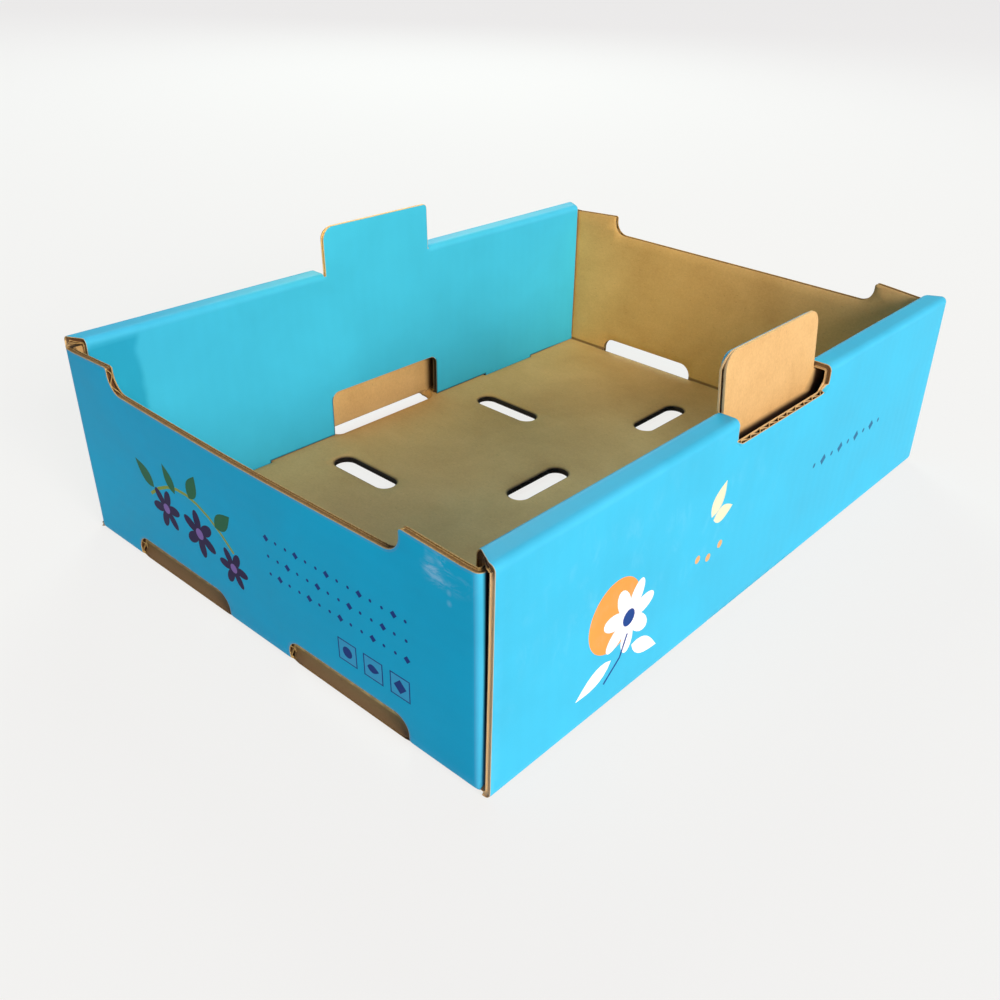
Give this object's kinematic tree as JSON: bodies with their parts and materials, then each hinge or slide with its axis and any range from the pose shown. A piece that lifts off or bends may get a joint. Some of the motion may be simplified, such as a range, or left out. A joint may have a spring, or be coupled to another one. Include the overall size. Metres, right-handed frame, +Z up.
{
  "type": "corrugated produce tray",
  "caption": "Open corrugated board tray folded from one die-cut sheet, with roll-over double side walls, single end walls, stacking tabs and vents.",
  "frame": {"origin": "middle of the floor's underside, where the tray rests", "axes": "+X along the long roll-over side walls, +Y across the tray towards one side wall, +Z up out of the open top"},
  "size_m": [0.38, 0.276, 0.1307],
  "materials": {
    "board": "corrugated board, printed bright blue outside with a thin satin varnish, plain brown kraft inside"
  },
  "bodies": {
    "root": {"tray_box": "board"}
  },
  "joints": []
}
